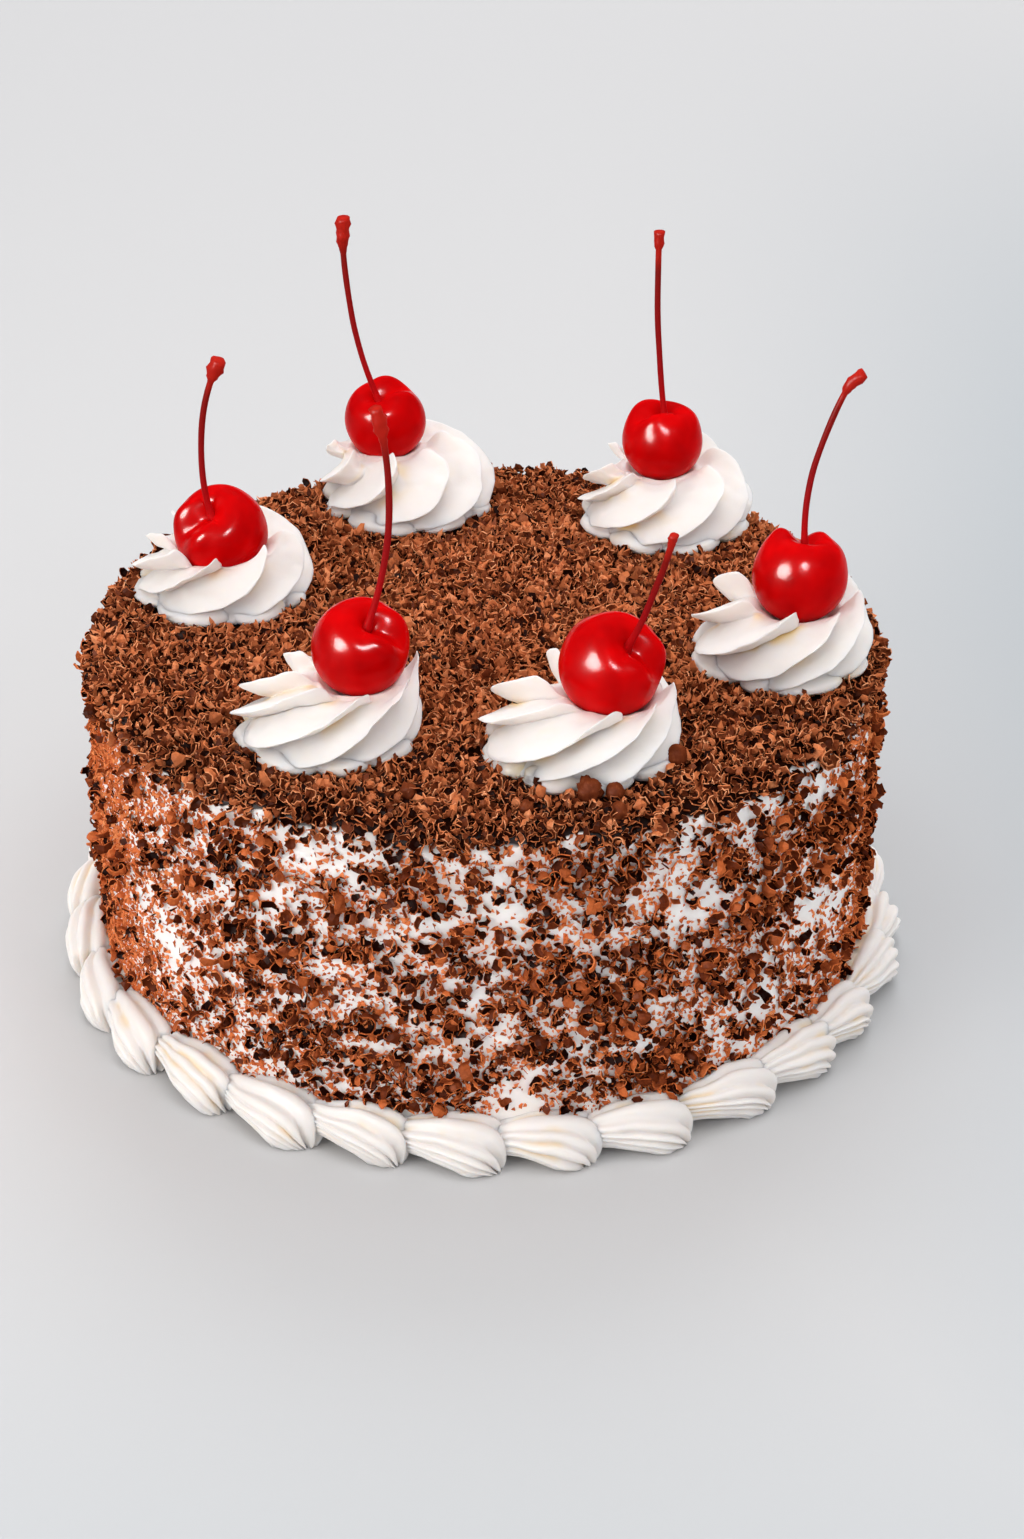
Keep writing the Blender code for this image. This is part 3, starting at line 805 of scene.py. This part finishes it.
lumps = (
    (0.0456, -0.0682, 0.0035, 0.0029, 0.14), (0.0310, -0.0840, 0.0029, 0.0023, 0.16),
    (0.0318, -0.0905, 0.0016, 0.0021, 0.25), (0.0250, -0.0842, 0.0032, 0.0030, 0.36),
    (-0.0165, -0.0836, 0.0024, 0.0020, 0.35), (0.0108, -0.0900, 0.0020, 0.0018, 0.40),
)
lumpShade = 0.09


def lumpGrid(number, lump):
    x, y, up, size, rough = lump
    unit = ballGrid(13, 20, 0.15)[2]
    flat = unit.reshape(-1, 3)
    bumps = 1 + rough * (noiseAt(flat, 0.7, 7.0 * number) + 0.5 * noiseAt(flat, 0.25, 3.0 * number))
    flat = flat * (size * bumps)[:, None] + np.array([x, y, cake["height"] + up])
    plain = np.zeros(unit.shape[:2])
    return flat.reshape(unit.shape), {"shade": plain + lumpShade, "edge": plain}


lumpMesh = meshFrom("lumps", *[lumpGrid(number, lump) for number, lump in enumerate(lumps)])
addPiece("lumps", lumpMesh, topBrown, "cake_cream_and_shavings", "cake")
print("lumps placed")


# Shell border: fluted shells with a narrow tail, each over the next one's tail

shells = dict(
    count=28, kinds=7, start=2.6, unevenAngle=1.0, unevenHeight=0.09, wall=0.1000, ring=0.1070,
    tail=-0.0056, fullest=0.0140, end=0.0244, height=0.0140, depth=0.0106, under=0.0088,
    tailUp=0.0062, bulbUp=0.0062, tailOut=0.0016, bulbOut=0.0032, neck=0.33, blunt=2.8, lean=0.0030,
    ridges=16, perRidge=7, rows=29, flute=0.28, heel=(-1, 0, 0.04), toes=(0.64, 0.14, -0.76), toesStray=0.18,
    sway=0.0006, seed=40,
)


def poleLines(start, end, rows, cols, uneven):  # directions along the circles through two poles of a sphere
    chord = (end - start).normalized()
    middle = (start + end) / 2
    outward = middle.normalized()
    across = chord.cross(outward)
    half = (end - start).length / 2
    lines = np.zeros((rows, cols, 3))
    for j in range(cols):
        turn = 2 * math.pi * j / cols
        turn += 0.16 * math.sin(2 * turn + uneven) + 0.05 * math.sin(5 * turn - uneven)
        lean = outward * math.cos(turn) + across * math.sin(turn)
        side = across * math.cos(turn) - outward * math.sin(turn)
        centre = side * middle.dot(side)
        radius = math.sqrt(1 - centre.length_squared)
        reach = math.atan2(half, middle.dot(lean))
        for i in range(rows):
            angle = reach * (2 * (i + 0.5) / rows - 1)
            lines[i, j] = centre + (lean * math.cos(angle) + chord * math.sin(angle)) * radius
    return lines


def shellMesh(name, rng):  # ridges fan from a narrow raised tail over the bulb and curl under it
    s = shells
    cols = s["ridges"] * s["perRidge"]
    stray = s["toesStray"]
    toes = Vector(s["toes"]) + Vector([rng.uniform(-stray, stray) for _ in range(3)])
    lines = poleLines(Vector(s["heel"]).normalized(), toes.normalized(), s["rows"], cols, rng.uniform(0, 6))
    ahead, outward, upward = lines[..., 0], lines[..., 1], lines[..., 2]
    # how full the shell is at each point: full early on top and late below, so the neck is hollow under
    spread = 1.3 - 0.65 * np.clip(upward, -1, 1)
    fan = s["neck"] + (1 - s["neck"]) * np.clip(1 + ahead, 0, 1) ** spread
    blunt = (1 - np.clip(ahead, 0, 1) ** s["blunt"]) ** (1 / s["blunt"])
    full = np.where(ahead < 0, fan, np.maximum(blunt, 0.05)) / np.sqrt(np.clip(1 - ahead ** 2, 0.02, 1))
    # ridges of uneven strength
    turns = roundAngles(cols)[None, :]
    strength = 1 + 0.30 * np.sin(turns + rng.uniform(0, 6)) + 0.2 * np.sin(3 * turns + rng.uniform(0, 6))
    ridge = np.abs(np.cos(0.5 * s["ridges"] * turns)) ** 0.6 * np.ones_like(ahead)
    swell = 1 + s["flute"] * strength * (ridge - 0.66)
    height = s["height"] * rng.uniform(0.92, 1.03)
    depth = s["depth"] * rng.uniform(0.92, 1.03)
    tail = s["tail"] + rng.uniform(-0.0010, 0.0014)
    length = np.where(ahead > 0, s["end"] - s["fullest"], s["fullest"] - tail)
    along = s["fullest"] + ahead * length * (1 + (swell - 1) * 1.4 * np.clip(ahead, 0, 1))
    along -= s["lean"] * upward * (1 - ahead ** 2)
    grown = smoothStep(ahead, -1.0, 0.1)
    middleUp = s["tailUp"] + (s["bulbUp"] - s["tailUp"]) * grown + rng.uniform(-0.0006, 0.0006)
    middleOut = s["tailOut"] + (s["bulbOut"] - s["tailOut"]) * grown
    out = middleOut + (depth - middleOut) * outward * full * swell
    up = middleUp + np.where(upward > 0, height - middleUp, s["under"]) * upward * full * swell
    flat = swayed(np.stack([out, up, along], -1).reshape(-1, 3), 0.007, s["sway"], rng.uniform(0, 50))
    # bent round the cake, kept off the floor and out of the cake
    radius = s["wall"] + np.maximum(flat[:, 0], -0.0008)
    angle = flat[:, 2] / s["ring"]
    points = np.stack([radius * np.cos(angle), radius * np.sin(angle), np.maximum(flat[:, 1], 0.0)], -1)
    # groove: the share of painted glow, light scattered through the cream, in the grooves
    groove = (1 - ridge) ** 1.5
    return meshFrom(name, (points.reshape(lines.shape), {"groove": groove, "blush": groove * 0}))


def makeBorderTree():
    tree, given = newTree("shellBorder", {
        "Kinds": "Collection", "Count": "Int", "Start": "Float", "Uneven Angle": "Float",
        "Uneven Height": "Float", "Seed": "Int", "Finish": "Material"})
    points = addNode(tree, "GeometryNodePoints", {0: given["Count"]}).outputs[0]
    index = addNode(tree, "GeometryNodeInputIndex").outputs[0]
    pitch = mathNode(tree, "DIVIDE", 2 * math.pi, given["Count"])
    back = mathNode(tree, "MULTIPLY", given["Uneven Angle"], -1.0)
    stray = randomBetween(tree, back, given["Uneven Angle"], given["Seed"])
    first = mathNode(tree, "ADD", mathNode(tree, "MULTIPLY", index, pitch), given["Start"])
    turn = addNode(tree, "ShaderNodeCombineXYZ", {2: mathNode(tree, "ADD", first, stray)}).outputs[0]
    facing = addNode(tree, "FunctionNodeEulerToRotation", {0: turn}).outputs[0]
    low = mathNode(tree, "SUBTRACT", 1.0, given["Uneven Height"])
    tall = randomBetween(tree, low, 1.0, mathNode(tree, "ADD", given["Seed"], 5.0))
    size = addNode(tree, "ShaderNodeCombineXYZ", {0: 1.0, 1: 1.0, 2: tall}).outputs[0]
    placed = placeKinds(tree, points, given["Kinds"], given["Seed"], facing, size)
    return endTree(tree, placed, given["Finish"])


def makeBorder():
    kinds = bpy.data.collections.new("shellKinds")
    rng = random.Random(shells["seed"])
    for i in range(shells["kinds"]):
        mesh = shellMesh(f"shell{i}", rng)
        kinds.objects.link(bpy.data.objects.new(mesh.name, mesh))
    empty = bpy.data.meshes.new("shellBorder")
    piece = growPiece("shellBorder", empty, makeBorderTree(), {
        "Kinds": kinds, "Count": shells["count"], "Start": math.radians(shells["start"]),
        "Uneven Angle": math.radians(shells["unevenAngle"]), "Uneven Height": shells["unevenHeight"],
        "Seed": 3, "Finish": cream})
    claimPiece(piece, "whipped_cream", *[f"shell_{i:02d}" for i in range(1, shells["count"] + 1)])
    dropKinds(kinds)
    print("border piped:", triangleCount(piece), "triangles")


makeBorder()


# Rosettes: sawtooth blades that turn as they climb, round the cup that holds a cherry

swirl = dict(
    blades=8, rows=66, twist=98.0, crest=0.82, sharpFrom=0.70, slopeSteps=14, crestSteps=15, overhang=0.08,
    cupGap=0.0012, wander=0.0011, ripple=0.00035, sink=0.0006, blushShare=0.55, blushReach=0.0030,
    frill=8, frillSteps=12, frillHeight=0.0044, frillSway=0.0006, seed=60,
)
# The crimped first turn, from the foot up: share of its reach and of its height
frillProfile = ((0.55, 0.0), (0.86, 0.0), (0.97, 0.14), (1.0, 0.42), (0.96, 0.74), (0.84, 0.95), (0.5, 1.0))
# Stations up a rosette: share of the twist, share of the radius, height, notch, lift of the crest
swirlStations = (
    (0.00, 0.72, 0.0000, 0.03, 0.0000),
    (0.08, 0.90, 0.0012, 0.12, 0.0000),
    (0.22, 1.00, 0.0032, 0.20, 0.0002),
    (0.44, 1.03, 0.0060, 0.26, 0.0006),
    (0.64, 0.99, 0.0092, 0.30, 0.0016),
    (0.80, 0.89, 0.0122, 0.31, 0.0038),
    (0.92, 0.75, 0.0142, 0.28, 0.0058),
)


def bladeShape(share):  # 0 in the groove, 1 on the crest: a broad flat rise, then a sharp drop
    rise = np.clip(share / swirl["crest"], 0, 1) ** 1.3
    return rise * (1 - smoothStep(share, swirl["crest"], 1.0))


def smoothedStations(stations):
    table = np.array(stations)
    steps = np.concatenate([[0], np.cumsum(np.hypot(np.diff(table[:, 1]), np.diff(table[:, 2])) ** 0.7)])
    where = np.linspace(0, steps[-1], swirl["rows"])
    lines = [np.interp(where, steps, table[:, k]) for k in range(table.shape[1])]
    for _ in range(2):  # round the corners
        for line in lines:
            line[1:-1] = np.convolve(line, (0.25, 0.5, 0.25), "valid")
    return lines


def bladesGrid(row, rng):
    seat, ball = Vector(row["seat"]), row["cherry"]
    rim = ball + swirl["cupGap"]
    stations = [(turn, out * row["radius"], *rest) for turn, out, *rest in swirlStations]
    stations += [  # over the rim of the cup and down under the cherry
        (0.97, rim + 0.0010, 0.0150, 0.16, 0.0070),
        (1.00, rim - 0.0016, 0.0142, 0.08, 0.0012),
        (1.01, ball * 0.82, seat.z - ball * 0.62, 0.0, 0.0),
        (1.02, ball * 0.45, seat.z - ball * 0.93, 0.0, 0.0),
        (1.02, ball * 0.06, seat.z - ball * 1.03, 0.0, 0.0),
    ]
    twist, out, up, notch, lift = smoothedStations(stations)
    widths = np.array([rng.uniform(0.72, 1.28) for _ in range(swirl["blades"])])
    edges = np.concatenate([[0], np.cumsum(widths / widths.sum())])
    # points across one blade, closer together at its sharp side
    shares = np.concatenate([np.linspace(0, swirl["sharpFrom"], swirl["slopeSteps"], endpoint=False),
                             np.linspace(swirl["sharpFrom"], 1.0, swirl["crestSteps"], endpoint=False)])
    shape = bladeShape(shares)
    start = math.radians(rng.uniform(0, 360) + row.get("turn", 0))
    grid = np.zeros((swirl["rows"], swirl["blades"] * len(shares), 3))
    groove = np.zeros(grid.shape[:2])
    # the cup stands over the cherry's place, which is off the rosette's middle
    inward = np.clip((row["radius"] - out) / (row["radius"] - rim), 0, 1) * smoothStep(twist, 0.3, 0.6)
    shift = np.array([seat.x, seat.y])[None, :] * inward[:, None]
    for b in range(swirl["blades"]):
        depth, horn = rng.uniform(0.75, 1.2), rng.uniform(0.45, 0.98)
        columns = slice(b * len(shares), (b + 1) * len(shares))
        place = edges[b] + (edges[b + 1] - edges[b]) * (shares + swirl["overhang"] * shape ** 3)
        angle = start + 2 * math.pi * place[None, :] + (math.radians(swirl["twist"]) * twist)[:, None]
        flare = 1 + 0.05 * (lift * horn / 0.004)[:, None] * shape[None, :] ** 2
        radius = out[:, None] * (1 - notch[:, None] * depth * (1 - shape[None, :])) * flare
        grid[:, columns, 0] = shift[:, :1] + radius * np.cos(angle)
        grid[:, columns, 1] = shift[:, 1:] + radius * np.sin(angle)
        grid[:, columns, 2] = up[:, None] + (lift * horn)[:, None] * (shape[None, :] ** 3 - 0.2)
        # groove: the share of painted glow, light scattered through the cream, in the grooves
        groove[:, columns] = (1 - shape[None, :]) ** 6 * np.clip(notch[:, None] * 5, 0, 1)
    flat = grid.reshape(-1, 3)
    inCup = np.repeat(np.arange(swirl["rows"]) > 0.84 * swirl["rows"], grid.shape[1])
    loose = np.where(inCup, 0.2, 1.0)[:, None]
    moved = swayed(flat, 0.011, swirl["wander"], rng.uniform(0, 90))
    moved = swayed(moved, 0.0032, swirl["ripple"], rng.uniform(0, 90))
    flat = flat + (moved - flat) * loose
    flat[:, 2] = np.maximum(flat[:, 2], 0.0)
    toBall = np.linalg.norm(flat - np.array(seat), axis=1) - ball
    blush = swirl["blushShare"] * (1 - smoothStep(toBall, 0.0, swirl["blushReach"]))
    return flat.reshape(grid.shape), {"groove": groove, "blush": blush.reshape(groove.shape)}


def frillGrid(row, rng):  # the crimped first turn, showing as lumps at the foot
    count = swirl["frill"]
    around = roundAngles(count * swirl["frillSteps"])
    places = np.sort([rng.uniform(-0.25, 0.25) + i for i in range(count)]) / count * 2 * math.pi
    gap = np.min(np.abs(wrapped(around[:, None] - places[None, :])), axis=1)
    lobe = np.sqrt(1 - (1 - np.clip(gap / (math.pi / count), 0, 1)) ** 2)
    circle = np.stack([np.cos(around), np.sin(around), around * 0], -1)
    tall = 1 + 0.35 * noiseAt(circle, 0.5, rng.uniform(0, 50))
    reach = row["radius"] * (0.83 + 0.20 * lobe)
    grid = np.array([np.stack([reach * out * np.cos(around), reach * out * np.sin(around),
                               swirl["frillHeight"] * up * tall], -1) for out, up in frillProfile])
    flat = swayed(grid.reshape(-1, 3), 0.006, swirl["frillSway"], rng.uniform(0, 90))
    flat[:, 2] = np.maximum(flat[:, 2], 0.0)
    # groove: the share of painted glow between the lobes
    groove = np.repeat((1 - lobe)[None, :], len(frillProfile), 0)
    return flat.reshape(grid.shape), {"groove": groove, "blush": groove * 0}


def rosetteMesh(number, row):
    rng = random.Random(swirl["seed"] + number)
    foot = np.array(rosetteFoot(row)) - np.array([0, 0, swirl["sink"]])
    parts = [(grid + foot, values) for grid, values in (bladesGrid(row, rng), frillGrid(row, rng))]
    return meshFrom(f"rosette{number}", *parts)


for number, row in enumerate(rosettes, start=1):
    addPiece(f"rosette{number}", rosetteMesh(number, row), cream, "whipped_cream", f"rosette_{number}")
print("rosettes piped")


# Cherries: a ball with a dimple and a fold, and a bowed stalk

fruit = dict(
    rows=64, cols=96, pole=0.012, size=0.985, dimple=0.0046, dimpleWidth=0.36, fold=0.0030, foldWidth=0.0030,
    lip=0.0008, shoulder=0.0004, uneven=0.00035, unevenSize=0.009, seed=80,
)
stalk = dict(rows=64, cols=12, radius=0.00080, sunk=0.0006, root=0.0016, wiggle=0.0004, knobby=0.34,
             bend=(0.0016, 0, -0.0010))
# Each knob: its length, its width over the stalk's, ridges, how open its end stays
knobs = dict(
    ridged=(0.0085, 2.1, 3, 0.55), cut=(0.0040, 1.35, 0, 0.9), bent=(0.0060, 2.2, 1, 0.4),
    small=(0.0050, 1.9, 1, 0.35), flared=(0.0100, 2.3, 0, 1.0), round=(0.0058, 2.7, 1, 0.35),
)


def cherryAxis(row):
    lean = math.radians(row["lean"])
    return ringPoint(math.sin(lean), row["towards"], math.cos(lean))


def cherryMesh(number, row):
    size = row["cherry"]
    polar, around, unit = ballGrid(fruit["rows"], fruit["cols"], fruit["pole"])
    side = wrapped(around) * np.sin(polar) * size / fruit["foldWidth"]
    reach = np.exp(-((polar - 0.60) / 0.45) ** 2) * (np.cos(around) > 0)
    lip = fruit["lip"] * np.exp(-((np.abs(side) - 1.9) / 0.9) ** 2)
    crease = (fruit["fold"] * np.exp(-side ** 2) - lip) * reach
    dent = fruit["dimple"] * np.exp(-(polar / fruit["dimpleWidth"]) ** 2)
    shoulder = fruit["shoulder"] * np.exp(-((polar - 0.80) / 0.30) ** 2)
    bumps = noiseAt(unit.reshape(-1, 3) * size, fruit["unevenSize"], fruit["seed"] + number)
    bumps = bumps.reshape(unit.shape[:2]) * fruit["uneven"]
    radius = size * fruit["size"] - dent - crease + shoulder + bumps
    axis = cherryAxis(row)
    first = ringPoint(1, row["fold"])
    first = (first - axis * first.dot(axis)).normalized()
    turn = np.array([first, axis.cross(first), axis])
    points = (unit * radius[..., None]).reshape(-1, 3) @ turn + np.array(cherryCentre(row))
    return meshFrom(f"cherry{number}", (points.reshape(unit.shape), {}))


def knobWidth(toEnd, knob):  # how far into the knob, from 0 to 1, and its width over the stalk's
    length, width, ridges, openEnd = knob
    share = max(0.0, 1 - toEnd / length)
    if not share:
        return 0.0, 1.0
    swell = 1 + (width - 1) * math.sin(math.pi * min(1.0, share * (1.0 - 0.35 * openEnd))) ** 0.8
    if ridges:
        swell *= 1 + 0.10 * math.cos(2 * math.pi * ridges * share)
    return share, swell


def stalkMesh(number, row):
    base = cherryAxis(row) * (row["cherry"] - fruit["dimple"] - stalk["sunk"])
    tip = Vector(row["tip"])
    middle = (base + tip) / 2 + Vector((2 * row["bow"], 0, 0))
    reach = (tip - base).length
    last = stalk["rows"] - 1
    path, sizes, knobby = [], [], []
    for i in range(stalk["rows"]):
        share = i / last
        place = base * (1 - share) ** 2 + middle * 2 * share * (1 - share) + tip * share ** 2
        seed = Vector((number * 3.1, share * 2.6, 0))
        sway = Vector((noise.noise(seed), noise.noise(seed + Vector((5, 5, 5))), 0))
        place += sway * stalk["wiggle"] * math.sin(math.pi * share)
        inKnob, swell = knobWidth((1 - share) * reach, knobs[row["knob"]])
        if row["knob"] == "bent":
            place += Vector(stalk["bend"]) * inKnob ** 2
        root = 1 + 0.8 * math.exp(-share * reach / stalk["root"])
        path.append(place)
        sizes.append(stalk["radius"] * swell * root * (1 + 0.06 * noise.noise(seed * 2.3)))
        knobby.append(stalk["knobby"] * min(1.0, 4 * inKnob))
    rows = []
    for i, place in enumerate(path):
        ahead = (path[min(i + 1, last)] - path[max(i - 1, 0)]).normalized()
        side = ahead.cross(Vector((0, 1, 0))).normalized()
        other = ahead.cross(side)
        ring = []
        for a in roundAngles(stalk["cols"]):
            bump = noise.noise(Vector((math.cos(a), math.sin(a), 0.5 * i + number)))
            out = (side * math.cos(a) + other * math.sin(a)) * sizes[i] * (1 + knobby[i] * bump)
            ring.append(tuple(place + out + cherryCentre(row)))
        rows.append(ring)
    along = np.repeat((np.arange(stalk["rows"]) / last)[:, None], stalk["cols"], 1)
    return meshFrom(f"stalk{number}", (np.array(rows), {"along": along}))


for number, row in enumerate(rosettes, start=1):
    addPiece(f"cherry{number}", cherryMesh(number, row), cherryRed, "glazed_cherry", f"cherry_{number}")
    addPiece(f"stalk{number}", stalkMesh(number, row), stalkBrown, "cherry_stem", f"stem_{number}")
print("cherries placed")
